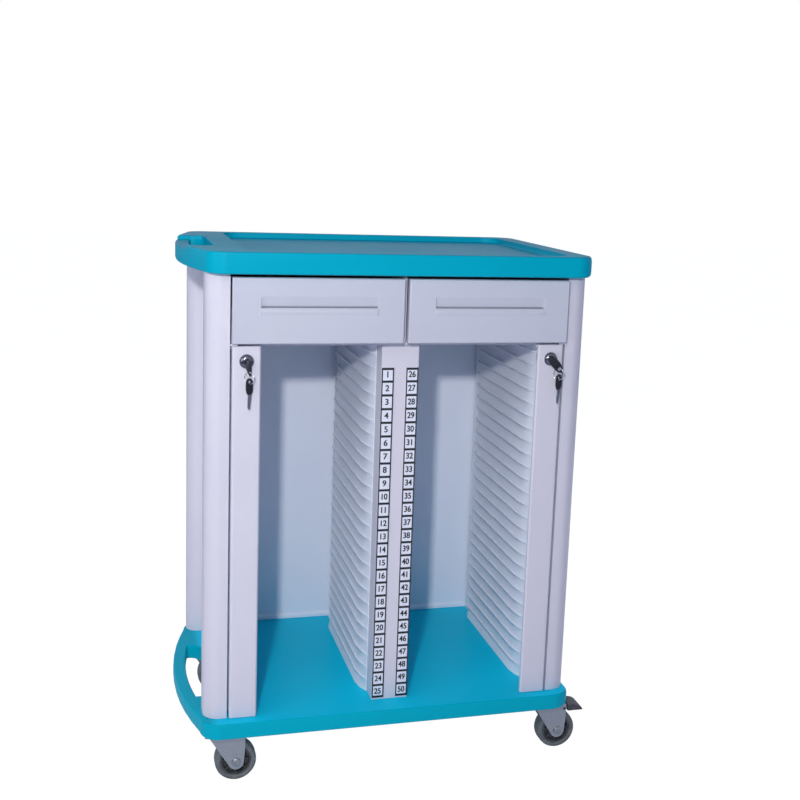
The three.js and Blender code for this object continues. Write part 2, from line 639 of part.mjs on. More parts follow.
function buildCaster(where, x, y, braked) {
  const top = CASTER_H - GAP;
  const race = top - PLATE_T - RACE_T;
  const crown = race - RUN;
  const plate = join(
    prismZ(roundedRect(x - PLATE_W / 2, x + PLATE_W / 2, y - PLATE_W / 2, y + PLATE_W / 2, PLATE_T),
      top - PLATE_T, top),
    rodZ(x, y, RACE_R, race, top - PLATE_T / 2, 18),
    rodZ(x, y, KING_R, crown - FORK_T - RUN, race + RACE_T / 2, 12),
  );
  add(`caster_plate_${where}`, plate, ZINC);

  const half = WHEEL_W / 2 + 2 * RUN;
  const leg = new THREE.Shape();
  leg.moveTo(-LEG_LEFT, crown);
  leg.lineTo(-LEG_LEFT, crown - FORK_T);
  leg.absarc(TRAIL, WHEEL_R, LEG_FOOT_R, Math.PI * 1.15, Math.PI * 1.95);
  leg.lineTo(LEG_RIGHT, crown - WHEEL_R * 0.6);
  leg.lineTo(LEG_RIGHT, crown);
  leg.closePath();
  const fork = join(
    prismY(leg, -half - LEG_T, -half),
    prismY(leg, half, half + LEG_T),
    box(-LEG_LEFT, LEG_RIGHT, -half - LEG_T / 2, half + LEG_T / 2, crown - FORK_T, crown),
  );
  const holes = [
    rodY(TRAIL, WHEEL_R, AXLE_R + GAP, -half - 2 * LEG_T, half + 2 * LEG_T),
    rodZ(0, 0, KING_R + RUN, crown - 2 * FORK_T, crown + FORK_T, 12),
  ];
  if (braked) {
    holes.push(rodY(PEDAL_X, PEDAL_Z, ROD_R + GAP, -half - 2 * LEG_T, half + 2 * LEG_T, 14));
  }
  add(`caster_fork_${where}`, cut(fork, ...holes).translate([x, y, 0]), ZINC);

  const w = WHEEL_W / 2;
  const flat = WHEEL_R / Math.cos(Math.PI / WHEEL_FACETS);
  const dish = WHEEL_W / 10;
  const hub = WHEEL_R * 0.72;
  const wall = WHEEL_R * 0.78;
  const tread = [[AXLE_R + GAP, dish - w], [hub, dish - w], [wall, -w], [flat - dish, -w], [flat, dish - w],
    [flat, w - dish], [flat - dish, w], [wall, w], [hub, w - dish], [AXLE_R + GAP, w - dish]];
  tread.push(tread[0]);
  add(`caster_wheel_${where}`, lathe(tread, WHEEL_FACETS).rotateY(Math.PI / WHEEL_FACETS)
    .translate(x + TRAIL, y, WHEEL_R), RUBBER);

  const out = half + LEG_T + GAP;
  const bolt = AXLE_R * 1.6;
  const pin = [[0, -out - LEG_T], [bolt, -out - LEG_T], [bolt, -out], [AXLE_R, -out],
    [AXLE_R, out], [bolt, out], [bolt, out + LEG_T], [0, out + LEG_T]];
  add(`caster_axle_${where}`, lathe(pin, 12).translate(x + TRAIL, y, WHEEL_R), STEEL);
  if (!braked) return;

  const root = LEG_RIGHT + LEG_T;
  const tongue = outline([
    [root, PEDAL_Z - 5], [PEDAL_REACH, PEDAL_Z - 5], [PEDAL_REACH, PEDAL_Z - 3],
    [PEDAL_REACH - 3, PEDAL_Z + 1], [PEDAL_REACH - 8, PEDAL_Z + 4.5], [PEDAL_REACH - 15, PEDAL_Z + 6.7],
    [root, PEDAL_Z + 7.5],
  ]);
  const arm = half - RUN;
  const pedal = join(
    prismY(tongue, -PEDAL_HALF, PEDAL_HALF),
    rodY(PEDAL_X, PEDAL_Z, ROD_R * 2, -arm, arm, 16),
    rodY(PEDAL_X, PEDAL_Z, ROD_R, -half - LEG_T, half + LEG_T, 14),
    box(PEDAL_X, root + 2, -arm, arm, PEDAL_Z - ROD_R, PEDAL_Z + ROD_R),
  );
  add(`brake_pedal_${where}`, pedal.translate([x, y, 0]), BLACK);
}

buildTop();
buildBase();
buildBody();
for (const [side, hand] of [[-1, 'left'], [1, 'right']]) {
  buildDrawer(side, hand);
  buildFlap(side, hand);
}
buildCaster('front_left', -casterX, CASTER_Y, false);
buildCaster('front_right', casterX, CASTER_Y, true);
buildCaster('rear_left', -casterX, rearCaster, true);
buildCaster('rear_right', casterX, rearCaster, false);

// origin in the middle of the footprint, on the floor
const bounds = new THREE.Box3().setFromObject(rack);
const centre = bounds.getCenter(new THREE.Vector3());
for (const mesh of rack.children) mesh.geometry.translate(-centre.x, -centre.y, -bounds.min.z);

export default rack;
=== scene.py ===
import json
import math

import bmesh
import bpy
from mathutils import Matrix, Vector

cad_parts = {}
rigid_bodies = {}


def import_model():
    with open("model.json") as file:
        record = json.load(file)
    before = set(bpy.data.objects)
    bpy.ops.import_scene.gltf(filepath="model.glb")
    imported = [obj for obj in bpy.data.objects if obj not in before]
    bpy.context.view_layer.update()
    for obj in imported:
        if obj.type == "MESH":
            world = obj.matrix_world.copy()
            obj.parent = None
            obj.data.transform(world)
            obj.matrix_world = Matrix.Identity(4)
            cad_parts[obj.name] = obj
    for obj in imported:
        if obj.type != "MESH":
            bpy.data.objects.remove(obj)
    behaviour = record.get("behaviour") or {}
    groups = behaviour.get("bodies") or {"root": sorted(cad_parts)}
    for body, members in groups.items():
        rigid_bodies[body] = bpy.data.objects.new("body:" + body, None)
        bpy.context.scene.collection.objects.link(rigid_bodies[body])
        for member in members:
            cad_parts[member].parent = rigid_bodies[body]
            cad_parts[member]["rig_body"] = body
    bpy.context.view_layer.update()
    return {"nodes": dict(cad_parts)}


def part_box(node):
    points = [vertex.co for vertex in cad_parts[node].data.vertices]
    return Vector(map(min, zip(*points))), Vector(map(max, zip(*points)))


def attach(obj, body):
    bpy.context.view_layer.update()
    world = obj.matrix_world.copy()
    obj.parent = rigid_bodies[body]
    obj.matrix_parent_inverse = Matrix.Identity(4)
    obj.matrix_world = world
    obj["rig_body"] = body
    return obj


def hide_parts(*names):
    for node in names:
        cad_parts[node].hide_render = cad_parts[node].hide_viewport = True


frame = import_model()

# STUDIO
# A pale sweep of floor, one small lamp close to the camera at its left, soft boxes on every
# side and a weak bluish fill. The camera stands to the left, above the top edge.

LENS_MM = 53.595
SHIFT = (-0.04425, -0.03975)
EYE = Vector((-0.52185, -2.2197, 1.1309))
YAW, PITCH, ROLL = (math.radians(a) for a in (16.079, -10.027, 2.265))

ahead = Vector((math.sin(YAW) * math.cos(PITCH), math.cos(YAW) * math.cos(PITCH), math.sin(PITCH)))
level = ahead.cross(Vector((0, 0, 1))).normalized()
right = level * math.cos(ROLL) + level.cross(ahead) * math.sin(ROLL)
up = right.cross(ahead)
turn = Matrix((right, up, -ahead)).transposed().to_4x4()
camera = bpy.data.objects.new("camera", bpy.data.cameras.new("camera"))
camera.data.sensor_width = 36
camera.data.lens = LENS_MM
camera.data.shift_x, camera.data.shift_y = SHIFT
camera.matrix_world = Matrix.Translation(EYE) @ turn
bpy.context.scene.collection.objects.link(camera)
bpy.context.scene.camera = camera
bpy.context.scene.view_settings.view_transform = "Standard"


def lamp(name, stand, target, size, watts, tint):
    """A square soft box on its stand, turned towards a point."""
    light = bpy.data.lights.new(name, "AREA")
    light.size, light.energy, light.color = size, watts, tint
    holder = bpy.data.objects.new(name, light)
    aim = (Vector(target) - Vector(stand)).to_track_quat("-Z", "Y")
    holder.matrix_world = Matrix.Translation(stand) @ aim.to_matrix().to_4x4()
    bpy.context.scene.collection.objects.link(holder)
    return holder


lamp("key_lamp", (-0.725, -2.17, 1.45), (0, 0, 0.5), 0.08, 26, (1, 0.985, 0.97))
lamp("top_box", (-0.9, -1.7, 2.2), (-0.1, 0, 0.2), 0.9, 7, (1, 1, 0.99))
lamp("side_box", (-1.5, -0.9, 1.2), (-0.2, -0.1, 0.5), 0.7, 5, (0.98, 0.99, 1))

# The boxes for the right side and the back give soft light, with no reflection of their own.
FAR_BOXES = (
    ("right_box", (2.3, 0.8, 0.5), (0.3, 0.1, 0.5), 17),
    ("rear_box", (0.5, 2.7, 0.5), (0, 0.2, 0.5), 18),
    ("rear_left_box", (-2.2, 1.3, 0.5), (-0.3, 0.2, 0.5), 9),
)
FAR_SIZE = 0.7
FAR_TINT = (1, 0.99, 0.96)
for name, stand, target, watts in FAR_BOXES:
    lamp(name, stand, target, FAR_SIZE, watts, FAR_TINT).visible_glossy = False


class Wire:
    """A socket of a node tree. Sums with it add Math nodes, and node() adds any other."""

    def __init__(self, tree, socket=None):
        self.tree = tree
        self.socket = socket

    def node(self, kind, settings, sockets, out=0):
        made = self.tree.nodes.new(kind)
        for name, value in settings.items():
            setattr(made, name, value)
        for name, value in sockets.items():
            if isinstance(value, Wire):
                self.tree.links.new(value.socket, made.inputs[name])
            else:
                made.inputs[name].default_value = value
        return Wire(self.tree, made.outputs[out])

    def sum(self, operation, first, second):
        return self.node("ShaderNodeMath", {"operation": operation}, {0: first, 1: second})

    def __add__(self, other):
        return self.sum("ADD", self, other)

    def __sub__(self, other):
        return self.sum("SUBTRACT", self, other)

    def __rsub__(self, other):
        return self.sum("SUBTRACT", other, self)

    def __mul__(self, other):
        return self.sum("MULTIPLY", self, other)

    __radd__ = __add__
    __rmul__ = __mul__

    def above(self, low, high):
        """0 below low, 1 above high, smooth between."""
        return self.node(
            "ShaderNodeMapRange",
            {"interpolation_type": "SMOOTHSTEP"},
            {"Value": self, "From Min": low, "From Max": high},
        )

    def mixed(self, first, second):
        """The first colour where this is 0 and the second where it is 1."""
        return self.node("ShaderNodeMix", {"data_type": "RGBA"}, {0: self, 6: first, 7: second}, 2)


def ink(red, green, blue):
    """A screen colour from 0 to 255 as the shader's linear values."""
    linear = []
    for level in (red, green, blue):
        linear.append(level / 3294.6 if level <= 10 else ((level / 255 + 0.055) / 1.055) ** 2.4)
    return (*linear, 1)


FILL = (0.08, 0.12, 0.24, 1)
PAPER = (1, 1, 1, 1)
MIRRORED = (0.62, 0.66, 0.72, 1)
world = bpy.data.worlds.new("studio")
world.use_nodes = True
bpy.context.scene.world = world
air = Wire(world.node_tree)
direct = air.node("ShaderNodeLightPath", {}, {}, "Is Camera Ray")
kinds = world.node_tree.nodes[-1].outputs
bounced = Wire(air.tree, kinds["Is Glossy Ray"]) + Wire(air.tree, kinds["Is Transmission Ray"])
shown = direct.mixed(bounced.mixed(FILL, MIRRORED), PAPER)
air.tree.links.new(shown.socket, air.tree.nodes["Background"].inputs["Color"])

FLOOR_HALF = 14
FLOOR_TINT = (0.86, 0.87, 0.89, 1)
FLOOR_GLOW = 1.1
GLOW_SHARE = 0.9
bm = bmesh.new()
bmesh.ops.create_grid(bm, x_segments=1, y_segments=1, size=FLOOR_HALF)
mesh = bpy.data.meshes.new("floor")
bm.to_mesh(mesh)
bm.free()
floor = bpy.data.objects.new("floor", mesh)
bpy.context.scene.collection.objects.link(floor)
pale = bpy.data.materials.new("floor_paper")
pale.use_nodes = True
path = Wire(pale.node_tree)
look = path.node("ShaderNodeLightPath", {}, {}, "Is Camera Ray")
matt = pale.node_tree.nodes["Principled BSDF"]
matt.inputs["Base Color"].default_value = FLOOR_TINT
matt.inputs["Roughness"].default_value = 0.9
matt.inputs["Specular IOR Level"].default_value = 0
glow = path.node("ShaderNodeEmission", {}, {"Color": PAPER, "Strength": FLOOR_GLOW})
both = path.node(
    "ShaderNodeMixShader",
    {},
    {0: look * GLOW_SHARE, 1: Wire(path.tree, matt.outputs[0]), 2: glow},
)
path.tree.links.new(both.socket, path.tree.nodes["Material Output"].inputs["Surface"])
mesh.materials.append(pale)

# WHITE SHELL
# Four hollow corner posts, two side panels and a back panel, pushed into the base and
# the top. Injection-moulded ABS, a cold white with a fine eroded grain and soft edges.

DIVIDER_X = -3.75
FACE_Y = -233


def at(x, y, z):
    """A place in millimetres from the divider's middle, the drawers' face and the floor."""
    return Vector((x + DIVIDER_X, y + FACE_Y, z)) / 1000


def finish(name):
    """A new material, its shader and the place on the piece that its nodes start from."""
    material = bpy.data.materials.new(name)
    material.use_nodes = True
    shader = material.node_tree.nodes["Principled BSDF"]
    return material, shader, Wire(material.node_tree).node("ShaderNodeTexCoord", {}, {}, "Object")


def noise(place, scale, detail):
    return place.node("ShaderNodeTexNoise", {}, {"Vector": place, "Scale": scale, "Detail": detail})


def feed(shader, name, wire):
    wire.tree.links.new(wire.socket, shader.inputs[name])


def grained(shader, height, strength, depth):
    """Fine relief on the surface."""
    sockets = {"Strength": strength, "Distance": depth, "Height": height}
    feed(shader, "Normal", height.node("ShaderNodeBump", {}, sockets))


def moulded(name, tint, worn, rough, grain, sheen=0.42, painted_top_light=None):
    """ABS: faint flow clouds in the colour, scuffs in the gloss, eroded grain in the relief,
    and, if asked, a paler tint painted on as light above a height and right of a line."""
    material, shader, place = finish(name)
    cloud = noise(place, 4.5, 4)
    scuff = noise(place, 70, 3).above(0.60, 0.74) * cloud.above(0.45, 0.7)
    height = place.node("ShaderNodeSeparateXYZ", {}, {0: place}, "Z")
    # Darker towards the bottom, most at the floor and gone by 0.35 m up.
    low_darkening = (1 - height.above(0.0, 0.35)) * 0.25
    colour = (cloud.above(0.35, 0.75) * 0.5 + scuff * 0.3 + low_darkening).mixed(tint, worn)
    # Painted light: a paler tint above a height and right of a line, for light falling on a top
    # face.
    if painted_top_light:
        top, line, lit_tint = painted_top_light
        across = place.node("ShaderNodeSeparateXYZ", {}, {0: place}, "X")
        painted_lit_mask = height.above(top - 0.0006, top) * across.above(line - 0.02, line)
        colour = painted_lit_mask.mixed(colour, lit_tint)
    feed(shader, "Base Color", colour)
    feed(shader, "Roughness", cloud * 0.12 + scuff * 0.10 + (rough - 0.06))
    grained(shader, noise(place, 1100, 2), grain, 0.0002)
    shader.inputs["Specular IOR Level"].default_value = sheen
    return material


white_abs = moulded("white_abs", ink(220, 216, 226), ink(211, 208, 220), 0.42, 0.10)
# The back panel is a brighter, bluer copy of the white ABS: painted light and bluish shade for the
# inside of the bays.
panel_abs_painted_light = moulded("panel_abs_painted_light", ink(236, 242, 255), ink(229, 236, 252), 0.45, 0.10)


def piece(name, bm, material, body, nodes=(), angle=38):
    """Turns a finished bmesh into a piece that rides on a body and stands for CAD nodes."""
    mesh = bpy.data.meshes.new(name)
    bm.to_mesh(mesh)
    bm.free()
    for face in mesh.polygons:
        face.use_smooth = True
    mesh.set_sharp_from_angle(angle=math.radians(angle))
    for coat in material if isinstance(material, tuple) else (material,):
        mesh.materials.append(coat)
    made = bpy.data.objects.new(name, mesh)
    bpy.context.scene.collection.objects.link(made)
    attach(made, body)
    if nodes:
        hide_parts(*nodes)
    return made


def rounded(bm, radius, steps, keen):
    """Rounds every edge that is keener than an angle."""
    edges = [e for e in bm.edges if e.is_manifold and e.calc_face_angle() > math.radians(keen)]
    bmesh.ops.bevel(
        bm,
        geom=edges,
        offset=radius,
        offset_type="OFFSET",
        segments=steps,
        profile=0.5,
        affect="EDGES",
        clamp_overlap=True,
        material=-1,
    )


FLAT = math.radians(0.4)


def eased(node, material, radius, steps=2, keen=40, reshape=None):
    """A node's own shape with every keen edge rounded, as it leaves the mould."""
    source = frame["nodes"][node]
    bm = bmesh.new()
    bm.from_mesh(source.data)
    bmesh.ops.remove_doubles(bm, verts=bm.verts, dist=2e-6)
    bmesh.ops.dissolve_limit(
        bm,
        angle_limit=FLAT,
        verts=bm.verts,
        edges=bm.edges,
        use_dissolve_boundaries=False,
    )
    if reshape:
        reshape(bm)
    rounded(bm, radius, steps, keen)
    made = piece(node + "_shell", bm, material, source["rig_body"], [node])
    crisp = made.modifiers.new("even_shading", "WEIGHTED_NORMAL")
    crisp.keep_sharp = True
    return made


HANDS = ("left", "right")
for hand in HANDS:
    eased(f"post_front_{hand}", white_abs, 0.0007)
    eased(f"post_rear_{hand}", white_abs, 0.0007)
    eased(f"side_panel_{hand}", white_abs, 0.001)
eased("back_panel", panel_abs_painted_light, 0.001)
eased("drawer_shelf", white_abs, 0.0008)

PARTITION_FRONT = 20
SET_BACK = 0.005


def set_back(bm):
    """Takes the partition's front edge back into the shade between the drawers."""
    for vert in bm.verts:
        if vert.co.y < at(0, PARTITION_FRONT, 0).y:
            vert.co.y += SET_BACK


eased("drawer_partition", white_abs, 0.0006, reshape=set_back)

# PANEL SCREWS
# Twelve zinc-plated socket screws with round heads hold the back panel to flanges on the
# rear posts.

steel, shader, place = finish("steel")
drawn = noise(place, 500, 3)
feed(shader, "Base Color", drawn.mixed(ink(140, 142, 148), ink(178, 180, 186)))
feed(shader, "Roughness", drawn * 0.2 + 0.22)
shader.inputs["Metallic"].default_value = 1.0


def turned(bm, centre, axis, profile, steps=40):
    """A closed profile of (radius, distance along the axis) in millimetres, turned on a lathe."""
    axis = Vector(axis)
    out = axis.orthogonal().normalized()
    ring = [bm.verts.new(centre + (out * r + axis * along) / 1000) for r, along in profile]
    edges = [bm.edges.new(pair) for pair in zip(ring, ring[1:] + ring[:1])]
    bmesh.ops.spin(
        bm, geom=ring + edges, cent=centre, axis=axis, angle=math.tau, steps=steps, use_merge=True
    )
    bmesh.ops.remove_doubles(bm, verts=bm.verts, dist=1e-6)
    bmesh.ops.dissolve_degenerate(bm, dist=1e-7, edges=bm.edges)
    bmesh.ops.recalc_face_normals(bm, faces=bm.faces)


SCREW_HEAD = (
    (0, -0.5), (0, 0.4), (1.6, 0.4), (1.7, 2), (3, 2.2), (4.2, 1.5), (4.6, 0.3), (4.6, -0.5),
)
SCREW_COLUMN = 292
SCREW_ROWS = (165, 313, 461, 609, 757, 905)
PANEL_REAR = 466
bm = bmesh.new()
for x in (-SCREW_COLUMN, SCREW_COLUMN):
    for z in SCREW_ROWS:
        turned(bm, at(x, PANEL_REAR, z), (0, 1, 0), SCREW_HEAD, 18)
piece("panel_screws", bm, steel, "body")

# TOP AND BASE
# The tray top with its push bow and the deck with its bumper bow, each one cyan ABS
# moulding with a rolled rim, screwed to the four posts from inside.

cyan_abs = moulded("cyan_abs", ink(0, 169, 194), ink(0, 161, 187), 0.40, 0.08, 0.07)

ROLL_RUN = 0.025
NEAR = 0.0002


def rolled(under, over, left_end, right_end):
    """Deepens the rolled edges of a moulding beyond its two ends. The rolls' rows lie 1.2 and
    4 mm inside its under and upper face."""
    rows = ((under + 4, 4), (under + 1.2, 1.5), (over - 1.2, -1.5), (over - 4, -5))

    def reshape(bm):
        for vert in bm.verts:
            out = max(left_end - vert.co.x, vert.co.x - right_end) / ROLL_RUN
            for row, shift in rows:
                if abs(vert.co.z - row / 1000) < NEAR:
                    vert.co.z += shift / 1000 * min(max(out, 0), 1)

    return reshape


BOW_END = -0.335
PLAIN_END = 0.31
NO_END = -1
TOP_UNDER, TOP_OVER = 928, 965.5
BASE_UNDER, BASE_OVER = 101, 131
# Painted light: the deck's upper face, above 130.8 mm and right of the bumper bow, gets a paler
# cyan.
DECK_PAINTED_LIGHT = (0.1308, -0.32, ink(0, 206, 238))
top_roll = rolled(TOP_UNDER, TOP_OVER, NO_END, PLAIN_END)
base_roll = rolled(BASE_UNDER, BASE_OVER, BOW_END, PLAIN_END)
# The base's cyan is a paler copy of the top's cyan, painted light for the light that falls off
# towards the floor.
deck_abs_painted_light = moulded(
    "deck_abs_painted_light", ink(0, 177, 199), ink(0, 170, 193), 0.40, 0.08, 0.07, DECK_PAINTED_LIGHT
)
eased("top_tray", cyan_abs, 0.0006, reshape=top_roll)
eased("base_deck", deck_abs_painted_light, 0.0006, reshape=base_roll)

# DIVIDER AND LABELS
# A folded ABS channel between the bays, with a printed card strip down each edge: black
# frames on white, numbered from 1 at the top left to 50 at the lower right.

eased("divider_post", white_abs, 0.0008)

card, shader, place = finish("label_card")
fibre = noise(place, 420, 4)
feed(shader, "Base Color", fibre.above(0.3, 0.8).mixed(ink(236, 237, 246), ink(224, 226, 238)))
feed(shader, "Roughness", fibre * 0.2 + 0.32)

print_ink, shader, place = finish("label_ink")
mottle = noise(place, 900, 2)
feed(shader, "Base Color", mottle.mixed(ink(12, 13, 20), ink(36, 37, 48)))
feed(shader, "Roughness", mottle * 0.2 + 0.40)

LABELS = 25
LABEL_PITCH = 0.025
LABEL_FOOT = 0.1354
RULE_W = 0.0042
EDGE_RULE_W = 0.0023
INK_T = 0.00012
EDGE_INK_T = INK_T * 0.9
TEXT_SIZE = 0.0112 * 1.38
TEXT_BOLD = 0.0003
STRIKES = (-0.0004, 0.0004)
STRIKE_T = 0.00002
ONE_DIGIT_W, TWO_DIGITS_W = 0.95, 0.86


def bar(bm, low, high):
    """A slim block between two corners."""
    low, high = Vector(low), Vector(high)
    made = bmesh.ops.create_cube(bm, size=1)["verts"]
    bmesh.ops.scale(bm, vec=high - low, verts=made)
    bmesh.ops.translate(bm, vec=(low + high) / 2, verts=made)
    return made


for side, hand in enumerate(HANDS):
    eased(f"label_strip_{hand}", card, 0.0002, 1)
    low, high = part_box(f"label_strip_{hand}")
    face = low.y
    bm = bmesh.new()
    for step in range(LABELS + 1):
        z = LABEL_FOOT + step * LABEL_PITCH
        z = min(max(z, low.z + RULE_W / 2), high.z - RULE_W / 2)
        bar(bm, (low.x, face - INK_T, z - RULE_W / 2), (high.x, face, z + RULE_W / 2))
    for x in (low.x, high.x - EDGE_RULE_W):
        bar(bm, (x, face - EDGE_INK_T, low.z), (x + EDGE_RULE_W, face, high.z))
    piece(f"label_frames_{hand}", bm, print_ink, "body")

    bm = bmesh.new()
    for row in range(LABELS):
        number = LABELS - row + side * LABELS
        text = bpy.data.curves.new("number", "FONT")
        text.body = str(number)
        text.size = TEXT_SIZE
        text.align_x, text.align_y = "CENTER", "CENTER"
        text.offset = TEXT_BOLD
        holder = bpy.data.objects.new("number", text)
        bpy.context.scene.collection.objects.link(holder)
        bpy.context.view_layer.update()
        ready = holder.evaluated_get(bpy.context.evaluated_depsgraph_get())
        flat = bpy.data.meshes.new_from_object(ready)
        bpy.data.objects.remove(holder)
        centre = (low.x + high.x) / 2
        squeeze = TWO_DIGITS_W if number > 9 else ONE_DIGIT_W
        flat.transform(
            Matrix.Translation((centre, face - INK_T, LABEL_FOOT + (row + 0.5) * LABEL_PITCH))
            @ Matrix.Rotation(math.pi / 2, 4, "X")
            @ Matrix.Diagonal((squeeze, 1, 1, 1))
        )
        for strike in STRIKES:
            flat.transform(Matrix.Translation((strike, -STRIKE_T, 0)))
            bm.from_mesh(flat)
        bpy.data.meshes.remove(flat)
    piece(f"label_numbers_{hand}", bm, print_ink, "body")

# RIB LINERS
# Four vacuum-formed ABS sheets, two in each bay, whose 25 ledges carry the chart boards.
# Their noses curve back at the mouth so that a board slides in.

# The liners are a brighter, bluer copy of the white ABS: painted light for the inside of the bays.
liner_abs = moulded("liner_abs", ink(238, 242, 251), ink(231, 236, 247), 0.45, 0.06)
TAPER_FOOT = 0.1394
TAPER_RAISED = 0.0105
RIB_DEEP = 0.014
HOLLOW = 0.45
STEP_NEAR = 0.004
LINERS = (("wall", "right"), ("divider", "left"), ("wall", "left"), ("divider", "right"))

for carrier, hand in LINERS:
    node = f"rib_liner_{carrier}_{hand}"
    low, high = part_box(node)
    facing_left = (carrier == "wall") == (hand == "right")
    sheet = low.x + RIB_DEEP if facing_left else high.x - RIB_DEEP

    def undercut(bm):
        """Draws the foot of the taper under each ledge up and back into the sheet."""
        for vert in bm.verts:
            step = (vert.co.z - TAPER_FOOT) / LABEL_PITCH
            if abs(step - round(step)) < STEP_NEAR:
                vert.co.z += TAPER_RAISED
                vert.co.x += (sheet - vert.co.x) * HOLLOW

    eased(node, liner_abs, 0.0005, 1, reshape=undercut)

# DRAWERS
# Two shallow drawers side by side under the top: a front with a pressed grip over an ABS
# box, on folded steel runners screwed to the shelf. A dark sheet in the finger slot paints
# the shade of its hollow.

zinc, shader, place = finish("zinc_steel")
spangle = noise(place, 160, 5)
feed(shader, "Base Color", spangle.mixed(ink(158, 161, 168), ink(180, 183, 190)))
feed(shader, "Roughness", spangle * 0.25 + 0.30)
shader.inputs["Metallic"].default_value = 0.9

black_plastic, shader, place = finish("black_plastic")
wear = noise(place, 240, 4)
feed(shader, "Base Color", wear.above(0.4, 0.8).mixed(ink(18, 17, 28), ink(36, 35, 50)))
feed(shader, "Roughness", wear * 0.25 + 0.30)

# Painted shade: a dark sheet lines the back of the finger slot and stands for the shade in its
# hollow.
slot_shade, shader, place = finish("slot_painted_shade")
slot_shade_mottle = noise(place, 1400, 2)
feed(shader, "Base Color", slot_shade_mottle.mixed(ink(60, 62, 80), ink(84, 87, 108)))
feed(shader, "Roughness", slot_shade_mottle * 0.1 + 0.85)
grained(shader, slot_shade_mottle, 0.4, 0.0003)

drawer_abs = moulded("drawer_abs", ink(200, 202, 214), ink(191, 194, 208), 0.42, 0.10)
GRIP_MID = 152.4
GRIP_HALF = 0.1002
SLOT_DEEP, SLOT_HIGH = 0.0006, 0.0072
SLOT_LEAN = math.atan2(8, 12.5)
SLOT_Y, SLOT_Z = 12.2, 868.1
SLOPE_FOOT_Y = 17
SLOPE_FOOT_Z = 0.868
SLOPE_MOVE = Vector((0, -0.0125, 0.0006))


def shallow(bm):
    """Brings the foot of the grip's slope forward, which leaves the slot under it."""
    for vert in bm.verts:
        if abs(vert.co.y - at(0, SLOPE_FOOT_Y, 0).y) < NEAR and vert.co.z > SLOPE_FOOT_Z:
            vert.co += SLOPE_MOVE


for side, hand in zip((-1, 1), HANDS):
    eased(f"drawer_front_{hand}", drawer_abs, 0.0008, reshape=shallow)
    eased(f"drawer_box_{hand}", white_abs, 0.0008)
    for run in ("outer", "inner"):
        eased(f"runner_{hand}_{run}", zinc, 0.0003, 1)
    # The dark sheet of painted shade in the grip's slot, leaning with the slot.
    bm = bmesh.new()
    bar(bm, (-GRIP_HALF, -SLOT_DEEP, -SLOT_HIGH), (GRIP_HALF, SLOT_DEEP, SLOT_HIGH))
    rounded(bm, 0.0004, 2, 40)
    lean = Matrix.Rotation(SLOT_LEAN, 3, "X")
    bmesh.ops.rotate(bm, verts=bm.verts, cent=(0, 0, 0), matrix=lean)
    bmesh.ops.translate(bm, verts=bm.verts, vec=at(side * GRIP_MID, SLOT_Y, SLOT_Z))
    piece(f"slot_shade_sheet_{hand}", bm, slot_shade, f"drawer_{hand}")

# FLAPS AND LOCKS
# A narrow door at the outer edge of each bay swings on a steel rod and holds the boards
# in. A chrome cam lock near its top carries a key, a split ring and a spare key.

chrome, shader, place = finish("chrome")
haze = noise(place, 300, 3)
feed(shader, "Base Color", haze.mixed(ink(96, 97, 110), ink(122, 123, 136)))
feed(shader, "Roughness", haze * 0.10 + 0.14)
shader.inputs["Metallic"].default_value = 1.0

ring_steel, shader, place = finish("ring_steel")
rub = noise(place, 700, 3)
feed(shader, "Base Color", rub.mixed(ink(200, 202, 210), ink(226, 228, 234)))
feed(shader, "Roughness", rub * 0.15 + 0.15)
shader.inputs["Metallic"].default_value = 1.0

LOCK_DOME = (
    (3.2, 7.1), (3.2, 4.9), (4.4, 4.3), (6.5, 4.4), (8.8, 5.2), (10.8, 6.8), (12, 8.8),
    (12.5, 10.7), (9, 10.7), (9, 36), (6.3, 36), (6.3, 7.1),
)
PLUG_FACE = 7.4
TIP_FROM = 0.018
TIP_BACK = 0.006
KEY_Y = 2.6
KEY_T = 2.4
BLADE_T = 1.3
SPARE_EYE = (-2.2, 2.4)
RING_R = 10.2
WIRE_R = 0.5
COILS = (-0.45, 0.45)
RING_TURN = math.radians(-42)
SPARE_TURN = math.radians(20)
SPARE_UP = 0.006


def cut_sheet(bm, outline, eye, thick):
    """A flat key blank with a round eye, in millimetres, standing in the plane of X and Z."""
    rim = [bm.verts.new((x / 1000, 0, z / 1000)) for x, z in outline]
    edges = [bm.edges.new(pair) for pair in zip(rim, rim[1:] + rim[:1])]
    if eye:
        hole = bmesh.ops.create_circle(bm, segments=20, radius=eye[1] / 1000)["verts"]
        upright = Matrix.Rotation(math.pi / 2, 3, "X")
        bmesh.ops.rotate(bm, verts=hole, cent=(0, 0, 0), matrix=upright)
        bmesh.ops.translate(bm, verts=hole, vec=(0, 0, eye[0] / 1000))
        edges += list({e for v in hole for e in v.link_edges})
    sheet = bmesh.ops.triangle_fill(bm, use_beauty=True, use_dissolve=True, edges=edges)["geom"]
    faces = [f for f in sheet if isinstance(f, bmesh.types.BMFace)]
    grown = bmesh.ops.extrude_face_region(bm, geom=faces)["geom"]
    grown = [v for v in grown if isinstance(v, bmesh.types.BMVert)]
    bmesh.ops.translate(bm, verts=grown, vec=(0, thick / 1000, 0))
    bmesh.ops.translate(bm, verts=bm.verts, vec=(0, -thick / 2000, 0))
    bmesh.ops.recalc_face_normals(bm, faces=bm.faces)


def oval(half_width, top, bottom):
    """The outline of an egg-shaped key head."""
    middle, half = (top + bottom) / 2, (top - bottom) / 2
    turns = [math.tau * k / 28 for k in range(28)]
    return [(half_width * math.sin(t), middle + half * math.cos(t)) for t in turns]


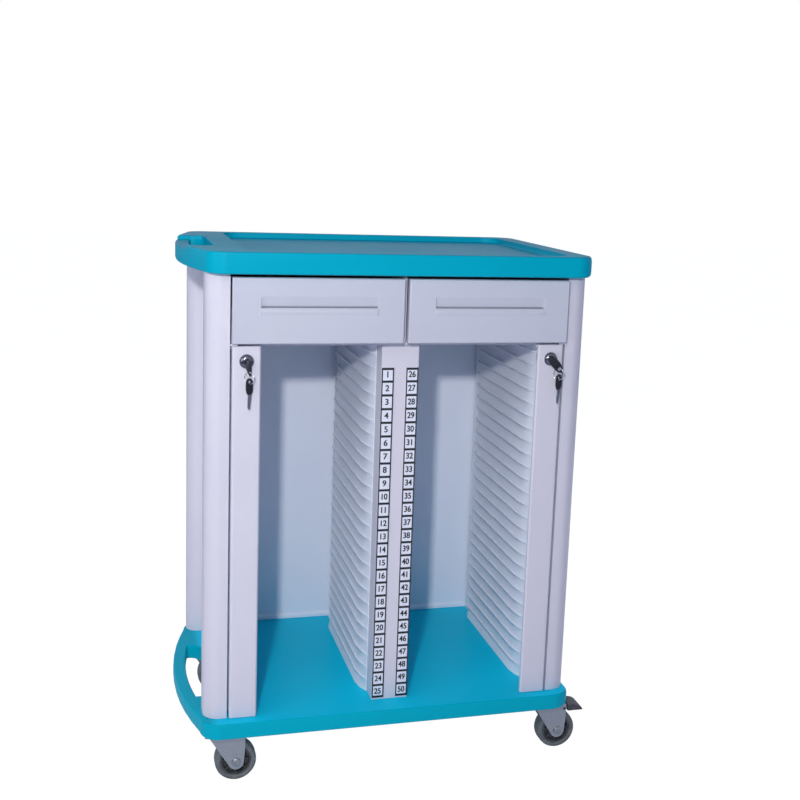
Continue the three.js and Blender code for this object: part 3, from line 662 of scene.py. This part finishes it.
NECK = (
    (-1.6, -0.5), (-4.2, -8), (-4.3, -12), (-3.4, -17), (-1.4, -24), (1.4, -24), (3.4, -18),
    (5, -11), (6.2, -4), (6, 1.5), (3.6, 3.6), (0, 2.4),
)
KEYS = {"left": (13, NECK, (-17.5, 1.5)), "right": (41, oval(8, 9, -30), (-22, 3.7))}
SHANK = ((-0.0016, 0.0005, -0.0024), (0.0016, (PLUG_FACE - KEY_Y + 0.4) / 1000, 0.0024))
BLADE = ((-0.0009, 0.004, -0.0028), (0.0009, 0.021, 0.0028))
KEY_COATS = (black_plastic, steel)
SPARE_HEAD = (
    (0, 4.5), (3.6, 3.4), (5.8, 0.2), (6.7, -5), (6.7, -15), (5.4, -20.5), (3.4, -24.4),
    (-3.4, -24.4), (-5.4, -20.5), (-6.7, -15), (-6.7, -5), (-5.8, 0.2), (-3.6, 3.4),
)
SPARE_BLADE = (
    (-3.2, -22), (-3.2, -47), (-0.4, -51.2), (1.6, -48.6), (1.3, -46), (2.6, -44), (1.9, -41.5),
    (3.3, -39), (2.4, -36.4), (3.8, -34), (3.2, -31), (4, -29), (4, -22),
)

for side, hand in zip((-1, 1), HANDS):
    eased(f"flap_{hand}", white_abs, 0.0012)
    eased(f"flap_rod_{hand}", steel, 0.0003, 1)
    eased(f"lock_plug_{hand}", chrome, 0.0003)
    low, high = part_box(f"lock_housing_{hand}")
    lock = Vector(((low.x + high.x) / 2, at(0, 0, 0).y, (low.z + high.z) / 2))

    def trimmed(bm):
        """Sets the tongue's tip back, clear of the flap's edge."""
        for vert in bm.verts:
            if side * (lock.x - vert.co.x) > TIP_FROM:
                vert.co.x += side * TIP_BACK

    eased(f"lock_cam_{hand}", zinc, 0.0003, reshape=trimmed)
    bm = bmesh.new()
    turned(bm, lock, (0, 1, 0), LOCK_DOME, 48)
    piece(f"lock_dome_{hand}", bm, chrome, f"flap_leaf_{hand}", [f"lock_housing_{hand}"])

    degrees, blank, eyelet = KEYS[hand]
    swung = Matrix.Translation(lock + Vector((0, KEY_Y / 1000, 0)))
    swung = swung @ Matrix.Rotation(-math.radians(degrees), 4, "Y")
    bm = bmesh.new()
    cut_sheet(bm, blank, eyelet, KEY_T)
    bar(bm, *SHANK)
    rounded(bm, 0.0004, 2, 50)
    blade = bar(bm, *BLADE)
    for face in {f for v in blade for f in v.link_faces}:
        face.material_index = 1
    bmesh.ops.transform(bm, matrix=swung, verts=bm.verts)
    core, pair = f"lock_core_{hand}", f"key_pair_{hand}"
    piece(f"key_head_{hand}", bm, KEY_COATS, core, [f"key_{hand}"])

    eye = swung @ Vector((0, 0, eyelet[0] / 1000))
    hoop = eye - Vector((0, 0, RING_R / 1000))
    axis = Matrix.Rotation(RING_TURN, 3, "Z") @ Vector((0, 1, 0))
    bm = bmesh.new()
    for coil in COILS:
        turns = [math.tau * k / 10 for k in range(10)]
        wire = [(RING_R + WIRE_R * math.cos(t), coil + WIRE_R * math.sin(t)) for t in turns]
        turned(bm, hoop, axis, wire, 44)
    piece(f"split_ring_{hand}", bm, ring_steel, pair, [f"key_ring_{hand}"], 60)

    hung = Matrix.Translation(hoop + Vector((0, 0, SPARE_UP - RING_R / 1000)))
    hung = hung @ Matrix.Rotation(SPARE_TURN, 4, "Z")
    bm = bmesh.new()
    cut_sheet(bm, SPARE_HEAD, SPARE_EYE, KEY_T)
    rounded(bm, 0.0005, 2, 50)
    blade = bmesh.new()
    cut_sheet(blade, SPARE_BLADE, None, BLADE_T)
    rounded(blade, 0.0002, 1, 50)
    for face in blade.faces:
        face.material_index = 1
    part = bpy.data.meshes.new("spare_blade")
    blade.to_mesh(part)
    blade.free()
    bm.from_mesh(part)
    bpy.data.meshes.remove(part)
    bmesh.ops.transform(bm, matrix=hung, verts=bm.verts)
    piece(f"spare_{hand}", bm, KEY_COATS, pair, [f"spare_key_{hand}"])

# CASTERS
# Four swivel casters bolted under the base: zinc-plated pressed forks on a ball race, grey
# rubber tyres on spoked plastic hubs, and black brake pedals on two of them.

rubber, shader, place = finish("grey_rubber")
dust = noise(place, 60, 5)
feed(shader, "Base Color", dust.above(0.35, 0.75).mixed(ink(92, 96, 98), ink(116, 119, 120)))
feed(shader, "Roughness", dust * 0.2 + 0.55)
grained(shader, noise(place, 900, 2), 0.2, 0.0002)

hub_plastic, shader, place = finish("hub_plastic")
grime = noise(place, 90, 4)
feed(shader, "Base Color", grime.above(0.3, 0.8).mixed(ink(58, 60, 64), ink(84, 86, 89)))
feed(shader, "Roughness", grime * 0.25 + 0.40)

TYRE = (
    (27.4, -11.5), (28, -13.6), (30, -14.8), (33, -14.9), (35.6, -13.6), (37, -10.8), (37.5, -7),
    (37.5, 7), (37, 10.8), (35.6, 13.6), (33, 14.9), (30, 14.8), (28, 13.6), (27.4, 11.5),
)
HUB_RIM = ((27.5, -11.6), (24.8, -12), (23.8, -8), (23.8, 8), (24.8, 12), (27.5, 11.6))
HUB_WEB = ((9, -2), (24.5, -2), (24.5, 2), (9, 2))
HUB_BOSS = ((5.5, -14.5), (9.2, -14.5), (10.5, -9), (10.5, 9), (9.2, 14.5), (5.5, 14.5))
SPOKES = 8
SPOKE = ((0.0095, -0.0085, -0.0014), (0.0245, 0.0085, 0.0014))
AXLE_PIN = (
    (0, -21.4), (2.4, -21.4), (3, -22.3), (5.8, -22.3), (7.6, -21.3), (8, -19.5), (5, -19.4),
    (5, 19.4), (8, 19.5), (7.6, 21.3), (5.8, 22.3), (3, 22.3), (2.4, 21.4), (0, 21.4),
)
AXLE_Z = 0.0375
NUT_R, NUT_T = 0.0058, 0.0046
NUT_OUT = 0.0245
NUT_Z = 0.0953
for corner in ("front_left", "front_right", "rear_left", "rear_right"):
    eased(f"caster_plate_{corner}", zinc, 0.0005)
    eased(f"caster_fork_{corner}", zinc, 0.0006)

    low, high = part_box(f"caster_wheel_{corner}")
    axle = (low + high) / 2
    axle.z = AXLE_Z
    swivel, wheel = f"swivel_{corner}", f"wheel_{corner}"
    bm = bmesh.new()
    turned(bm, axle, (0, 1, 0), AXLE_PIN, 28)
    piece(f"axle_pin_{corner}", bm, steel, swivel, [f"caster_axle_{corner}"])
    bm = bmesh.new()
    turned(bm, axle, (0, 1, 0), TYRE, 64)
    piece(f"tyre_{corner}", bm, rubber, wheel, [f"caster_{wheel}"], 50)
    bm = bmesh.new()
    for ring in (HUB_RIM, HUB_WEB, HUB_BOSS):
        turned(bm, axle, (0, 1, 0), ring, 48)
    for spoke in range(SPOKES):
        rib = bar(bm, *SPOKE)
        spun = Matrix.Translation(axle) @ Matrix.Rotation(math.tau * spoke / SPOKES, 4, "Y")
        bmesh.ops.transform(bm, matrix=spun, verts=rib)
    piece(f"hub_{corner}", bm, hub_plastic, wheel)

    low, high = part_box(f"caster_plate_{corner}")
    pivot = (low + high) / 2
    bm = bmesh.new()
    for x in (pivot.x - NUT_OUT, pivot.x + NUT_OUT):
        for y in (pivot.y - NUT_OUT, pivot.y + NUT_OUT):
            nut = bmesh.ops.create_cone(
                bm, cap_ends=True, segments=6, radius1=NUT_R, radius2=NUT_R, depth=NUT_T
            )["verts"]
            bmesh.ops.translate(bm, verts=nut, vec=(x, y, NUT_Z))
    rounded(bm, 0.0006, 2, 40)
    piece(f"caster_nuts_{corner}", bm, steel, "body")

pedal_plastic, shader, place = finish("pedal_plastic")
tread = noise(place, 180, 4)
feed(shader, "Base Color", tread.above(0.35, 0.75).mixed(ink(60, 59, 66), ink(82, 81, 88)))
feed(shader, "Roughness", tread * 0.2 + 0.38)
for corner in ("front_right", "rear_left"):
    eased(f"brake_pedal_{corner}", pedal_plastic, 0.0016, 3)
